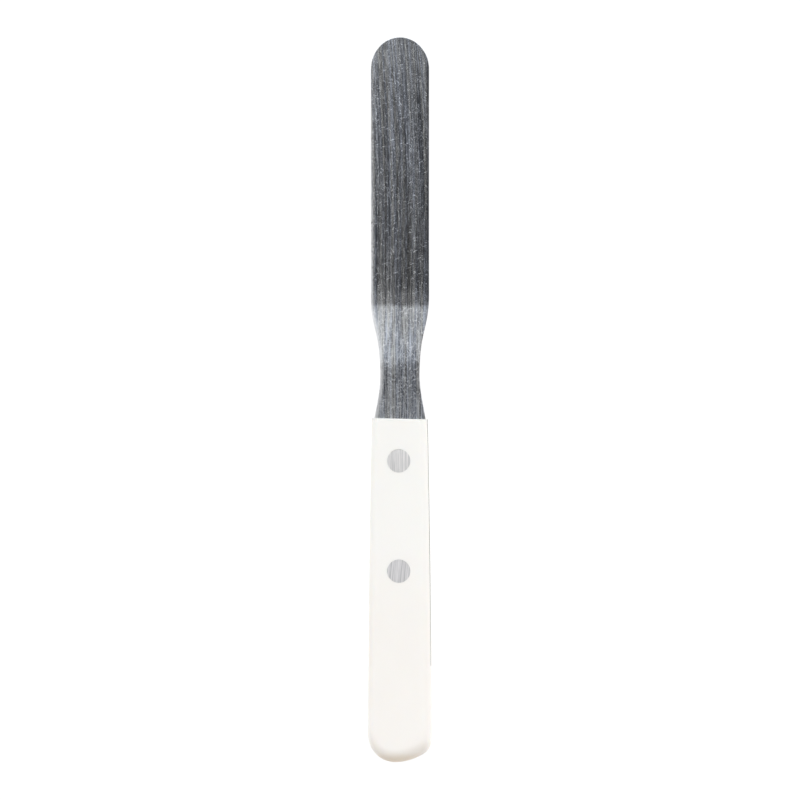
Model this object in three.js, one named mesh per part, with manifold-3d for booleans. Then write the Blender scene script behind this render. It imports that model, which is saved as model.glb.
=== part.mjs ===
// A small straight palette knife: a round-ended blade whose flat tang is riveted in a sawn handle.
//
// All lengths are in millimetres. +Y runs from the handle to the blade's tip, +X to the right and
// +Z up through the thickness. Every piece is drawn about the blade's mid-plane, with y = 0 at the
// handle's front edge. The group then lifts and centres them: the handle's lower face lies on
// z = 0 and the origin is below the middle of the knife's whole length.

import * as THREE from 'three';
import { mergeVertices } from 'three/addons/utils/BufferGeometryUtils.js';
import Module from 'manifold-3d';

// Blade, seen from above. Distances with _AT are measured forward from the handle's front edge.
const BLADE_WIDTH = 19.05;
const BLADE_REACH = 125;
const TIP_LENGTH = 10.3;
const SHOULDER_AT = 41;
const NECK_AT = 14.5;
const NECK_WIDTH = 12.8;
const HEEL_WIDTH = 16.7;
// How far each curve holds the direction it starts with, as a share of the curve's length.
const HEEL_EASE = 0.39;
const NECK_REAR_EASE = 0.34;
const NECK_FRONT_EASE = 0.55;
const SHOULDER_EASE = 0.44;

// Blade, seen from the side: flat stock, then a ground taper that ends at a crease, then a thin
// flexible strip.
const STOCK_THICKNESS = 2.0;
const TAPER_ROOT_AT = 15.5;
const TAPER_BLEND_LENGTH = 4.5;
const CREASE_AT = 37;
const CREASE_THICKNESS = 0.95;
const TIP_THICKNESS = 0.7;

// Tang: the part of the blade in the handle. _BACK distances run backward from the front edge.
const TANG_LENGTH = 80;
const TANG_CORNER_RADIUS = 3;
const TANG_INSET = 0.15;
const FLARE_BACK = 7;

// Handle: one plastic body with a slot sawn in from its front edge.
const HANDLE_LENGTH = 112.5;
const HANDLE_THICKNESS = 12;
const HANDLE_FRONT_WIDTH = 18;
const HANDLE_REAR_WIDTH = 20.5;
const SIDE_BOW = 0.75;
const FRONT_OUT_OF_SQUARE = 0.4;
const BUTT_LEFT_RADIUS = 8.7;
const BUTT_RIGHT_RISE = 4.6;
const BUTT_CORNER_RADIUS = 1.6;
const SIDE_ROUND = 2.6;
const BUTT_ROUND = 4.2;
const FRONT_ROUND = 0.8;
const LEAST_CORNER_RADIUS = 0.4;
const SLOT_END_GAP = 1;

// Rivets: each is a socket pressed in from above and a stud driven into it from below.
const FRONT_RIVET_BACK = 13.8;
const RIVET_PITCH = 36.1;
const HEAD_DIAMETER = 7.6;
const HEAD_THICKNESS = 1.5;
const SOCKET_DIAMETER = 5;
const STUD_DIAMETER = 3;
const SOCKET_ROOF = 1;
const SOCKET_END_GAP = 0.3;
const STUD_END_GAP = 0.5;

// Clearances, each on the radius.
const HEAD_CLEARANCE = 0.1;
const SOCKET_CLEARANCE = 0.15;
const STUD_CLEARANCE = 0.1;

// How finely the round stretches are divided.
const CURVE_STEPS = 12;
const SIDE_STEPS = 10;
const ROUND_STEPS = 10;
const RIVET_SIDES = 48;

const HALF_THICKNESS = HANDLE_THICKNESS / 2;
const OVERCUT = 2;
const RIVETS = [
  { name: 'front', y: -FRONT_RIVET_BACK },
  { name: 'rear', y: -(FRONT_RIVET_BACK + RIVET_PITCH) },
];

const manifold = await Module();
manifold.setup();

const steel = new THREE.MeshStandardMaterial({ color: 0x8f9195, roughness: 0.34, metalness: 1 });
const plastic = new THREE.MeshStandardMaterial({ color: 0xf4f2ec, roughness: 0.42, metalness: 0 });
const aluminium = new THREE.MeshStandardMaterial({ color: 0xcdcdcc, roughness: 0.5, metalness: 1 });

// ---- Helpers ---------------------------------------------------------------------------------

/** A closed geometry as a manifold solid, which can be joined and cut. */
function toSolid(geometry) {
  const bare = geometry.clone();
  bare.deleteAttribute('normal');
  bare.deleteAttribute('uv');
  const merged = mergeVertices(bare, 1e-5);
  return new manifold.Manifold(new manifold.Mesh({
    numProp: 3,
    vertProperties: new Float32Array(merged.attributes.position.array),
    triVerts: new Uint32Array(merged.index.array),
  }));
}

/** A manifold solid as a geometry. */
function toGeometry(solid) {
  const mesh = solid.getMesh();
  const geometry = new THREE.BufferGeometry();
  geometry.setAttribute('position', new THREE.BufferAttribute(mesh.vertProperties, 3));
  geometry.setIndex(new THREE.BufferAttribute(mesh.triVerts, 1));
  geometry.computeVertexNormals();
  return geometry;
}

/** The points of several curves that follow each other, without the point that ends each one. */
function pointsAlong(curves, steps) {
  return curves.flatMap((curve) => curve.getPoints(curve.isLineCurve ? 1 : steps).slice(0, -1));
}

function arc(x, y, radius, from, to) {
  return new THREE.EllipseCurve(x, y, radius, radius, from, to, false);
}

/** A cylinder along Z at (0, y), between two heights. */
function upright(radius, y, low, high) {
  const cylinder = new THREE.CylinderGeometry(radius, radius, high - low, RIVET_SIDES);
  return cylinder.rotateX(Math.PI / 2).translate(0, y, (low + high) / 2);
}

/** A closed body through outlines of equal point count, each at its own height, from the lowest. */
function stackOutlines(levels) {
  const count = levels[0].outline.length;
  const positions = levels.flatMap(({ z, outline }) => outline.flatMap((p) => [p.x, p.y, z]));
  const indices = [];
  for (let level = 0; level + 1 < levels.length; level += 1) {
    for (let i = 0; i < count; i += 1) {
      const a = level * count + i;
      const b = level * count + (i + 1) % count;
      indices.push(a, b, b + count, a, b + count, a + count);
    }
  }
  const top = (levels.length - 1) * count;
  for (const [a, b, c] of THREE.ShapeUtils.triangulateShape(levels[0].outline, [])) {
    indices.push(c, b, a);
  }
  for (const [a, b, c] of THREE.ShapeUtils.triangulateShape(levels.at(-1).outline, [])) {
    indices.push(top + a, top + b, top + c);
  }
  const geometry = new THREE.BufferGeometry();
  geometry.setAttribute('position', new THREE.Float32BufferAttribute(positions, 3));
  geometry.setIndex(indices);
  return geometry;
}

// ---- Handle ----------------------------------------------------------------------------------

/** Half of the handle's width, a distance behind its front edge. The sides bow gently outward. */
function handleHalfWidth(back) {
  const share = Math.min(back / (HANDLE_LENGTH - BUTT_LEFT_RADIUS), 1);
  const growth = share * (1 + SIDE_BOW * (1 - share));
  return (HANDLE_FRONT_WIDTH + (HANDLE_REAR_WIDTH - HANDLE_FRONT_WIDTH) * growth) / 2;
}

/** Points down one side of the handle, -1 for left and 1 for right, between two distances back. */
function handleSide(side, inset, fromBack, toBack) {
  const points = [];
  for (let i = 0; i <= SIDE_STEPS; i += 1) {
    const back = THREE.MathUtils.lerp(fromBack, toBack, i / SIDE_STEPS);
    points.push(new THREE.Vector2(side * (handleHalfWidth(Math.max(back, 0)) - inset), -back));
  }
  return points;
}

/**
 * The handle's outline, counter-clockwise, drawn in from its full size at the front, sides and
 * butt. The butt is lopsided: a quarter round at the left runs into a flatter arc, which meets
 * the right side at a small rounded corner.
 */
function handleOutline(frontInset, sideInset, buttInset) {
  const half = HANDLE_REAR_WIDTH / 2 - sideInset;
  const end = -(HANDLE_LENGTH - buttInset);
  const leftRadius = BUTT_LEFT_RADIUS - sideInset;
  const rightRun = 2 * half - leftRadius;
  const rightRise = BUTT_RIGHT_RISE * rightRun / (HANDLE_REAR_WIDTH - BUTT_LEFT_RADIUS);
  const rightRadius = (rightRun ** 2 + rightRise ** 2) / (2 * rightRise);
  const corner = Math.max(BUTT_CORNER_RADIUS - sideInset, LEAST_CORNER_RADIUS);
  const lowestX = leftRadius - half;
  const cornerX = half - corner;
  const cornerDrop = Math.sqrt((rightRadius - corner) ** 2 - (cornerX - lowestX) ** 2);
  const cornerY = end + rightRadius - cornerDrop;
  const cornerAngle = -Math.atan2(cornerDrop, cornerX - lowestX);
  const skew = FRONT_OUT_OF_SQUARE / 2;
  const left = handleSide(-1, sideInset, frontInset - skew, -(end + leftRadius));
  const right = handleSide(1, sideInset, frontInset + skew, -cornerY).reverse();
  const butt = pointsAlong([
    arc(lowestX, end + leftRadius, leftRadius, Math.PI, 1.5 * Math.PI),
    arc(lowestX, end + rightRadius, rightRadius, -0.5 * Math.PI, cornerAngle),
    arc(cornerX, cornerY, corner, cornerAngle, 0),
  ], CURVE_STEPS);
  return [...left.slice(0, -1), ...butt, ...right];
}

/** How far a rounded edge draws the outline in, at a depth below the flat face. */
function roundInset(depth, radius) {
  const rise = Math.max(1 - depth / radius, 0);
  return radius * (1 - Math.sqrt(1 - rise * rise));
}

/** The whole handle before it is cut: flat faces with rounded edges all round. */
function handleBlank() {
  const lower = [];
  for (let i = 0; i <= ROUND_STEPS; i += 1) {
    const depth = BUTT_ROUND * (1 - Math.cos((i / ROUND_STEPS) * (Math.PI / 2)));
    const outline = handleOutline(
      roundInset(depth, FRONT_ROUND),
      roundInset(depth, SIDE_ROUND),
      roundInset(depth, BUTT_ROUND),
    );
    lower.push({ z: depth - HALF_THICKNESS, outline });
  }
  const upper = lower.map(({ z, outline }) => ({ z: -z, outline })).reverse();
  return toSolid(stackOutlines([...lower, ...upper]));
}

/** The saw cut that takes the tang: it runs right across the handle and out at its front. */
function tangSlot() {
  const length = TANG_LENGTH + SLOT_END_GAP + OVERCUT;
  const box = new THREE.BoxGeometry(HANDLE_REAR_WIDTH + 2 * OVERCUT, length, STOCK_THICKNESS);
  return toSolid(box.translate(0, OVERCUT - length / 2, 0));
}

/** A rivet's stepped hole through the handle, with a seat for each head. */
function rivetHole(y) {
  const headRadius = HEAD_DIAMETER / 2 + HEAD_CLEARANCE;
  const bodyRadius = SOCKET_DIAMETER / 2 + SOCKET_CLEARANCE;
  const outside = HALF_THICKNESS + OVERCUT;
  const seat = HALF_THICKNESS - HEAD_THICKNESS;
  return toSolid(upright(bodyRadius, y, -outside, outside))
    .add(toSolid(upright(headRadius, y, seat, outside)))
    .add(toSolid(upright(headRadius, y, -outside, -seat)));
}

function handle() {
  let body = handleBlank().subtract(tangSlot());
  for (const rivet of RIVETS) {
    body = body.subtract(rivetHole(rivet.y));
  }
  return toGeometry(body);
}

// ---- Blade -----------------------------------------------------------------------------------

/** The tang's right side from its rear corner to the point where the flare to the heel begins. */
function tangSide() {
  const half = handleHalfWidth(TANG_LENGTH) - TANG_INSET;
  const cornerX = half - TANG_CORNER_RADIUS;
  const cornerY = TANG_CORNER_RADIUS - TANG_LENGTH;
  const corner = arc(cornerX, cornerY, TANG_CORNER_RADIUS, -0.5 * Math.PI, 0);
  return [...corner.getPoints(CURVE_STEPS / 2).slice(0, -1),
    ...handleSide(1, TANG_INSET, -cornerY, FLARE_BACK).slice(0, -1)];
}

/** The right side from the flare inside the handle, past the neck and shoulder, to the tip. */
function bladeSide() {
  const heel = HEEL_WIDTH / 2;
  const neck = NECK_WIDTH / 2;
  const full = BLADE_WIDTH / 2;
  const flare = handleHalfWidth(FLARE_BACK) - TANG_INSET;
  const halfwayX = (neck + heel) / 2;
  const rise = SHOULDER_AT - NECK_AT;
  const tipY = BLADE_REACH - TIP_LENGTH;
  const at = (x, y) => new THREE.Vector2(x, y);
  return pointsAlong([
    new THREE.QuadraticBezierCurve(
      at(flare, -FLARE_BACK), at((flare + heel) / 2, -FLARE_BACK / 3), at(heel, 0)),
    new THREE.CubicBezierCurve(
      at(heel, 0), at(halfwayX, NECK_AT * HEEL_EASE),
      at(neck, NECK_AT * (1 - NECK_REAR_EASE)), at(neck, NECK_AT)),
    new THREE.CubicBezierCurve(
      at(neck, NECK_AT), at(neck, NECK_AT + rise * NECK_FRONT_EASE),
      at(full, SHOULDER_AT - rise * SHOULDER_EASE), at(full, SHOULDER_AT)),
    new THREE.LineCurve(at(full, SHOULDER_AT), at(full, tipY)),
    new THREE.EllipseCurve(0, tipY, full, TIP_LENGTH, 0, Math.PI / 2, false),
  ], CURVE_STEPS);
}

/** The blade seen from above, with its two rivet holes. */
function bladePlan() {
  const right = [...tangSide(), ...bladeSide()];
  const left = right.map((p) => new THREE.Vector2(-p.x, p.y)).reverse();
  const outline = new THREE.Shape([...right, new THREE.Vector2(0, BLADE_REACH), ...left]);
  for (const rivet of RIVETS) {
    const hole = new THREE.Path();
    hole.absarc(0, rivet.y, SOCKET_DIAMETER / 2 + SOCKET_CLEARANCE, 0, 2 * Math.PI, true);
    outline.holes.push(hole);
  }
  const options = { depth: STOCK_THICKNESS, bevelEnabled: false, curveSegments: CURVE_STEPS * 2 };
  const geometry = new THREE.ExtrudeGeometry(outline, options);
  return toSolid(geometry.translate(0, 0, -STOCK_THICKNESS / 2));
}

/** Points along the blade's upper face seen from the side, from the tang's end to the tip. */
function upperFace() {
  const stock = STOCK_THICKNESS / 2;
  const crease = CREASE_THICKNESS / 2;
  const slope = (stock - crease) / (CREASE_AT - TAPER_ROOT_AT);
  const blend = new THREE.QuadraticBezierCurve(
    new THREE.Vector2(TAPER_ROOT_AT - TAPER_BLEND_LENGTH, stock),
    new THREE.Vector2(TAPER_ROOT_AT, stock),
    new THREE.Vector2(TAPER_ROOT_AT + TAPER_BLEND_LENGTH, stock - slope * TAPER_BLEND_LENGTH));
  return [
    new THREE.Vector2(-TANG_LENGTH - OVERCUT, stock),
    ...blend.getPoints(CURVE_STEPS / 2),
    new THREE.Vector2(CREASE_AT, crease),
    new THREE.Vector2(BLADE_REACH + OVERCUT, TIP_THICKNESS / 2),
  ];
}

/** The blade seen from the side, as a slab wide enough to hold the plan. */
function bladeProfile() {
  const upper = upperFace();
  const lower = upper.map((p) => new THREE.Vector2(p.x, -p.y)).reverse();
  const width = Math.max(HANDLE_REAR_WIDTH, BLADE_WIDTH) + 2 * OVERCUT;
  const options = { depth: width, bevelEnabled: false };
  const slab = new THREE.ExtrudeGeometry(new THREE.Shape([...upper, ...lower]), options);
  slab.rotateX(Math.PI / 2).rotateZ(Math.PI / 2);
  return toSolid(slab.translate(-width / 2, 0, 0));
}

function blade() {
  return toGeometry(bladePlan().intersect(bladeProfile()));
}

// ---- Rivets ----------------------------------------------------------------------------------

/** A turned body along Z from a profile of [radius, height] pairs, lowest first. */
function turned(profile, y) {
  const points = profile.map(([radius, height]) => new THREE.Vector2(radius, height));
  const body = new THREE.LatheGeometry(points, RIVET_SIDES);
  return toGeometry(toSolid(body.rotateX(Math.PI / 2).translate(0, y, 0)));
}

/** The upper half of a rivet: a flush head on a tube that is open at its lower end. */
function rivetSocket(y) {
  const seat = HALF_THICKNESS - HEAD_THICKNESS;
  const bore = STUD_DIAMETER / 2 + STUD_CLEARANCE;
  const mouth = SOCKET_END_GAP - seat;
  return turned([
    [0, seat - SOCKET_ROOF],
    [bore, seat - SOCKET_ROOF],
    [bore, mouth],
    [SOCKET_DIAMETER / 2, mouth],
    [SOCKET_DIAMETER / 2, seat],
    [HEAD_DIAMETER / 2, seat],
    [HEAD_DIAMETER / 2, HALF_THICKNESS],
    [0, HALF_THICKNESS],
  ], y);
}

/** The lower half of a rivet: a flush head on a shank that fills the socket's bore. */
function rivetStud(y) {
  const seat = HALF_THICKNESS - HEAD_THICKNESS;
  const top = seat - SOCKET_ROOF - STUD_END_GAP;
  return turned([
    [0, -HALF_THICKNESS],
    [HEAD_DIAMETER / 2, -HALF_THICKNESS],
    [HEAD_DIAMETER / 2, -seat],
    [STUD_DIAMETER / 2, -seat],
    [STUD_DIAMETER / 2, top],
    [0, top],
  ], y);
}

// ---- Assembly --------------------------------------------------------------------------------

const knife = new THREE.Group();
knife.position.set(0, (HANDLE_LENGTH - BLADE_REACH) / 2, HALF_THICKNESS);

function addPiece(name, geometry, material) {
  const piece = new THREE.Mesh(geometry, material.clone());
  piece.name = name;
  knife.add(piece);
}

addPiece('blade', blade(), steel);
addPiece('handle', handle(), plastic);
for (const rivet of RIVETS) {
  addPiece(`${rivet.name}_rivet_socket`, rivetSocket(rivet.y), aluminium);
  addPiece(`${rivet.name}_rivet_stud`, rivetStud(rivet.y), aluminium);
}

export default knife;
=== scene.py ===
"""A straight palette knife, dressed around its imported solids: a ground steel blade, a slotted
off-white handle and two cutler's rivets, each of a socket and a stud.

The blade's thickness follows one rule along its length, so a Geometry Nodes tree grinds it from a
flat blank. The rivets' halves are turned, and a second tree repeats them along the handle. The
handle is stacked from outlines of its own lopsided shape.
"""

import math

import bmesh
import bpy
from mathutils import Matrix, Vector


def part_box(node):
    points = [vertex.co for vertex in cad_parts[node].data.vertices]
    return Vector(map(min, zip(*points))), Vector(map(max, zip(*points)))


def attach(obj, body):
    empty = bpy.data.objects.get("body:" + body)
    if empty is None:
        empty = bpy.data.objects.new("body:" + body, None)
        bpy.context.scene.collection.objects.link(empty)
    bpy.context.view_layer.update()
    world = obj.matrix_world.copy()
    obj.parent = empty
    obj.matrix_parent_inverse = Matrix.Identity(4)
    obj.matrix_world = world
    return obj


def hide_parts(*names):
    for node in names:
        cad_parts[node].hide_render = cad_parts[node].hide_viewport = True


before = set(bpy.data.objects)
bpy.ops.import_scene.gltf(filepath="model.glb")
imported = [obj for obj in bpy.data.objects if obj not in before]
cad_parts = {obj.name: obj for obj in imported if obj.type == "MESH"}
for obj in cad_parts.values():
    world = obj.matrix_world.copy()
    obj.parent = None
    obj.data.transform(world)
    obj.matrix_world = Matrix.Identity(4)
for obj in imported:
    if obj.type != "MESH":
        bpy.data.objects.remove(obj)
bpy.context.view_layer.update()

MM = 0.001
BODY = "root"

# ---- Places and sizes that come from the frame --------------------------------------------------

BLADE_LOW, BLADE_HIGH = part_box("blade")
HANDLE_LOW, HANDLE_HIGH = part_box("handle")
FRONT_SOCKET_LOW, FRONT_SOCKET_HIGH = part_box("front_rivet_socket")
REAR_SOCKET_LOW, REAR_SOCKET_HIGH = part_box("rear_rivet_socket")
FRONT_STUD_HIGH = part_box("front_rivet_stud")[1]

FRONT_OUT_OF_SQUARE = 0.4 * MM
MID_Z = (HANDLE_LOW.z + HANDLE_HIGH.z) / 2
HALF_THICKNESS = (HANDLE_HIGH.z - HANDLE_LOW.z) / 2
FRONT_Y = HANDLE_HIGH.y - FRONT_OUT_OF_SQUARE / 2
HANDLE_LENGTH = FRONT_Y - HANDLE_LOW.y
HANDLE_REAR_WIDTH = HANDLE_HIGH.x - HANDLE_LOW.x
BLADE_REACH = BLADE_HIGH.y - FRONT_Y
TANG_LENGTH = FRONT_Y - BLADE_LOW.y
STOCK_THICKNESS = BLADE_HIGH.z - BLADE_LOW.z
RIVET_YS = [
    (FRONT_SOCKET_LOW.y + FRONT_SOCKET_HIGH.y) / 2,
    (REAR_SOCKET_LOW.y + REAR_SOCKET_HIGH.y) / 2,
]
HEAD_RADIUS = (FRONT_SOCKET_HIGH.x - FRONT_SOCKET_LOW.x) / 2

# ---- Blade sizes --------------------------------------------------------------------------------

# An _AT size is measured ahead of the handle's front edge. An _EASE size is the share of a curve's
# length over which it keeps its direction.
BLADE_WIDTH = 19.05 * MM
TIP_LENGTH = 10.3 * MM
SHOULDER_AT = 41 * MM
NECK_AT = 14.5 * MM
NECK_WIDTH = 12.8 * MM
HEEL_WIDTH = 16.7 * MM
HEEL_EASE = 0.39
NECK_REAR_EASE = 0.34
NECK_FRONT_EASE = 0.55
SHOULDER_EASE = 0.44
TAPER_ROOT_AT = 18.4 * MM
TAPER_BLEND = 0.12 * MM
CREASE_BLEND = 0.07 * MM
CREASE_AT = 37 * MM
CREASE_THICKNESS = 0.95 * MM
TIP_THICKNESS = 0.7 * MM
TANG_CORNER_RADIUS = 3 * MM
TANG_INSET = 0.15 * MM
FLARE_BACK = 7 * MM
OUTLINE_STEP = 0.9 * MM
TANG_CORNER_STEPS = 10
FLARE_STEPS = 8
WAIST_STEPS = 18
SHOULDER_STEPS = 34
TIP_STEPS = 48
CREASE_GAP = 0.08 * MM
# The flat faces are laid in strips across the blade from here on, and filled in behind it.
STRIPS_FROM = 0.2 * MM
TANG_HOLE_SIDES = 48
BLADE_SHARP_DEGREES = 50
BRUSH_MAP = "brush"
BRUSH_SCALE = 20
SIDE_WALL_NORMAL = 0.5
EDGE_DISTANCE = "from_edge"
# The edge of each face: how far in from the outline in millimetres, the share of thickness left
# there by the broken corner, and by the edge worn down along the straight sides.
EDGE_RINGS = [
    (0.00, 0.930, 0.505), (0.02, 0.975, 0.560), (0.05, 0.995, 0.610), (0.10, 1.0, 0.675),
    (0.18, 1.0, 0.735), (0.30, 1.0, 0.795), (0.45, 1.0, 0.850), (0.60, 1.0, 0.895),
    (0.80, 1.0, 0.939), (1.00, 1.0, 0.968), (1.25, 1.0, 0.991), (1.50, 1.0, 1.0), (1.65, 1.0, 1.0),
]
INNERMOST = len(EDGE_RINGS) - 1
WORN_SLANT = 0.10
WORN_FROM = 38 * MM
WORN_FADE = 20 * MM

# ---- Handle sizes -------------------------------------------------------------------------------

HANDLE_FRONT_WIDTH = 18 * MM
SIDE_BOW = 0.75
BUTT_LEFT_RADIUS = 8.7 * MM
BUTT_RIGHT_RISE = 4.6 * MM
BUTT_CORNER_RADIUS = 5.5 * MM
SIDE_ROUND = 2.6 * MM
BUTT_ROUND = 4.2 * MM
FRONT_ROUND = 0.5 * MM
FLAT_MARGIN = 0.15 * MM
SIDE_STEPS = 60
BUTT_LEFT_STEPS = 28
BUTT_RIGHT_STEPS = 20
BUTT_CORNER_STEPS = 16
FRONT_STEPS = 8
ROUND_DEPTHS = 26
SLOT_END_GAP = 1 * MM
SLOT_LENGTH = TANG_LENGTH + SLOT_END_GAP
SLOT_LIP = 0.02 * MM
SAME_PLACE = 1e-9
HOLE_BEVEL = 0.02 * MM
HANDLE_SHARP_DEGREES = 35

# ---- Rivet sizes --------------------------------------------------------------------------------

HEAD_THICKNESS = 1.5 * MM
SOCKET_RADIUS = 2.5 * MM
STUD_RADIUS = 1.5 * MM
BORE_RADIUS = 1.6 * MM
SOCKET_ROOF = 1 * MM
HOLE_RADIUS = 2.65 * MM
SEAT_GAP = 0.02 * MM
SEAT_RADIUS = HEAD_RADIUS + SEAT_GAP
SEAT_HEIGHT = HALF_THICKNESS - HEAD_THICKNESS
HEAD_BEVEL = 0.03 * MM
HEAD_BELOW_FACE = 0.005 * MM
HEAD_CROWN = 0.004 * MM
HEAD_FLAT_MARGIN = 0.5 * MM
RIVET_SIDES = 96
RIVET_SHARP_DEGREES = 10

# ---- Camera, floor and light --------------------------------------------------------------------

VIEW_TILT = math.radians(4)
VIEW_DISTANCE = 4.0
VIEW_WIDTH = 0.2622
SENSOR_WIDTH = 36.0
VIEW_TARGET = Vector((0.0, -0.00013, MID_Z))
CLIP_RANGE = (0.1, 50.0)
FLOOR_HALF_SIZE = 6.0
FLOOR_GLOW = 0.93
FLOOR_COLOR = (0.15, 0.15, 0.15, 1)
FLOOR_ROUGHNESS = 0.9
FLOOR_GLOSS = 0.1
WHITE = (1, 1, 1, 1)

# Each light fills the part of the sky between two places on one axis of the direction.
NORTH_LIGHT = (1.53, 1.59, 1.67)
NORTH_EDGE = (0.052, 0.076)
FAR_NORTH_GAIN = 1.38
FAR_NORTH_EDGE = (0.2, 0.5)
SOUTH_LIGHT = (0.30, 0.25, 0.20, 1)
SOUTH_EDGE = (-0.05, -0.5)
LEFT_LIGHT = 0.96
LEFT_EDGE = (-0.38, -0.58)
RIGHT_LIGHT = 1.35
RIGHT_EDGE = (0.72, 0.90)
OVERHEAD = (0.092, 0.092, 0.098, 1)
HEIGHT_EDGE = (0.1, 0.8)
LOWEST_SHARE = 0.05
HORIZON_EDGE = (0.0, -0.05)


def make_camera():
    """Looks down on the knife, tip up, from a little to its right."""
    data = bpy.data.cameras.new("camera")
    data.sensor_width = SENSOR_WIDTH
    data.lens = SENSOR_WIDTH * VIEW_DISTANCE / VIEW_WIDTH
    data.clip_start, data.clip_end = CLIP_RANGE
    camera = bpy.data.objects.new("camera", data)
    bpy.context.scene.collection.objects.link(camera)
    back = Vector((math.sin(VIEW_TILT), 0.0, math.cos(VIEW_TILT)))
    camera.location = VIEW_TARGET + back * VIEW_DISTANCE
    across = Vector((math.cos(VIEW_TILT), 0.0, -math.sin(VIEW_TILT)))
    up = Vector((0.0, 1.0, 0.0))
    camera.rotation_euler = Matrix((across, up, back)).transposed().to_euler()
    bpy.context.scene.camera = camera


def make_floor():
    """A plain white table top that glows a little, so that it stays even and pale."""
    mesh = bpy.data.meshes.new("floor")
    half = FLOOR_HALF_SIZE
    corners = [(-half, -half, 0), (half, -half, 0), (half, half, 0), (-half, half, 0)]
    mesh.from_pydata(corners, [], [(0, 1, 2, 3)])
    floor = bpy.data.objects.new("floor", mesh)
    bpy.context.scene.collection.objects.link(floor)
    paper = bpy.data.materials.new("white_paper")
    paper.use_nodes = True
    shader = paper.node_tree.nodes["Principled BSDF"]
    shader.inputs["Base Color"].default_value = FLOOR_COLOR
    shader.inputs["Roughness"].default_value = FLOOR_ROUGHNESS
    shader.inputs["Specular IOR Level"].default_value = FLOOR_GLOSS
    shader.inputs["Emission Color"].default_value = WHITE
    shader.inputs["Emission Strength"].default_value = FLOOR_GLOW
    mesh.materials.append(paper)


class Nodes:
    """Adds nodes to a tree and links them, so that a material reads as a list of steps."""

    def __init__(self, tree):
        self.tree = tree

    def add(self, kind, inputs=None, **settings):
        node = self.tree.nodes.new(kind)
        for name, value in settings.items():
            setattr(node, name, value)
        self.fill(node, inputs or {})
        return node

    def fill(self, node, inputs):
        """Sets inputs of a node: a socket is linked to it, and anything else is its value."""
        for key, value in inputs.items():
            socket = node.inputs[key]
            if isinstance(value, bpy.types.NodeSocket):
                self.tree.links.new(value, socket)
            else:
                socket.default_value = value

    def math(self, operation, *values):
        node = self.add("ShaderNodeMath", dict(enumerate(values)), operation=operation)
        return node.outputs[0]

    def ramp(self, value, low, high, to_low=0.0, to_high=1.0, smooth=False):
        """The value's place between low and high, moved to another range and held at its ends."""
        inputs = {
            "Value": value, "From Min": low, "From Max": high, "To Min": to_low, "To Max": to_high,
        }
        kind = "SMOOTHSTEP" if smooth else "LINEAR"
        node = self.add("ShaderNodeMapRange", inputs, interpolation_type=kind)
        return node.outputs["Result"]

    def mix(self, share, first, second, blend="MIX"):
        """Two colours mixed. The numbers are the Mix node's places for its share and colours."""
        inputs = {0: share, 6: first, 7: second}
        return self.add("ShaderNodeMix", inputs, data_type="RGBA", blend_type=blend).outputs[2]

    def stretched(self, vector, scale, offset=(0.0, 0.0, 0.0)):
        inputs = {"Vector": vector, "Scale": scale, "Location": offset}
        return self.add("ShaderNodeMapping", inputs).outputs["Vector"]

    def turned(self, vector, angle):
        inputs = {"Vector": vector, "Angle": angle}
        return self.add("ShaderNodeVectorRotate", inputs, rotation_type="Z_AXIS").outputs[0]

    def noise(self, vector, repeats, offset=(0.0, 0.0, 0.0), detail=2.0, roughness=0.5):
        """A pattern with its own number of repeats a metre along each axis."""
        spaced = self.stretched(vector, repeats, offset)
        inputs = {"Vector": spaced, "Scale": 1.0, "Detail": detail, "Roughness": roughness}
        return self.add("ShaderNodeTexNoise", inputs).outputs["Fac"]


def make_sky():
    """Soft light from the far end and both sides, a dark gap straight above, and warm dim light
    from the near end."""
    world = bpy.data.worlds.new("studio")
    bpy.context.scene.world = world
    world.use_nodes = True
    tree = world.node_tree
    tree.nodes.clear()
    n = Nodes(tree)
    direction = n.add("ShaderNodeTexCoord").outputs["Generated"]
    x, y, z = n.add("ShaderNodeSeparateXYZ", {"Vector": direction}).outputs
    height = n.ramp(z, *HEIGHT_EDGE, LOWEST_SHARE, 1.0, smooth=True)
    north = n.ramp(y, *NORTH_EDGE, smooth=True)
    south = n.ramp(y, *SOUTH_EDGE)
    left = n.ramp(x, *LEFT_EDGE, 0.0, LEFT_LIGHT, smooth=True)
    right = n.ramp(x, *RIGHT_EDGE, 0.0, RIGHT_LIGHT, smooth=True)
    below = n.ramp(z, *HORIZON_EDGE)
    color = n.mix(south, OVERHEAD, SOUTH_LIGHT)
    gain = n.ramp(y, *FAR_NORTH_EDGE, 1.0, FAR_NORTH_GAIN, smooth=True)
    strength = n.math("MULTIPLY", height, gain)
    strip = n.add("ShaderNodeVectorMath", {0: NORTH_LIGHT, "Scale": strength}, operation="SCALE")
    color = n.mix(north, color, strip.outputs[0])
    sides = n.math("ADD", n.math("MULTIPLY", left, height), right)
    side = n.add("ShaderNodeCombineXYZ", {0: sides, 1: sides, 2: sides})
    color = n.mix(1.0, color, side.outputs[0], "ADD")
    color = n.mix(below, color, WHITE)
    light = n.add("ShaderNodeBackground", {"Color": color, "Strength": 1.0})
    n.add("ShaderNodeOutputWorld", {"Surface": light.outputs[0]})


# ---- Outlines -----------------------------------------------------------------------------------


def lerp(a, b, share):
    return a + (b - a) * share


def bezier(points, steps):
    """Points along a Bezier curve of any degree, its last point left out."""
    found = []
    for i in range(steps):
        row = [Vector(p) for p in points]
        while len(row) > 1:
            row = [a.lerp(b, i / steps) for a, b in zip(row, row[1:])]
        found.append(row[0])
    return found


def arc(x, y, radius_x, radius_y, start, end, steps):
    """Points along an arc, its last point left out."""
    angles = [lerp(start, end, i / steps) for i in range(steps)]
    return [Vector((x + radius_x * math.cos(a), y + radius_y * math.sin(a))) for a in angles]


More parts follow.
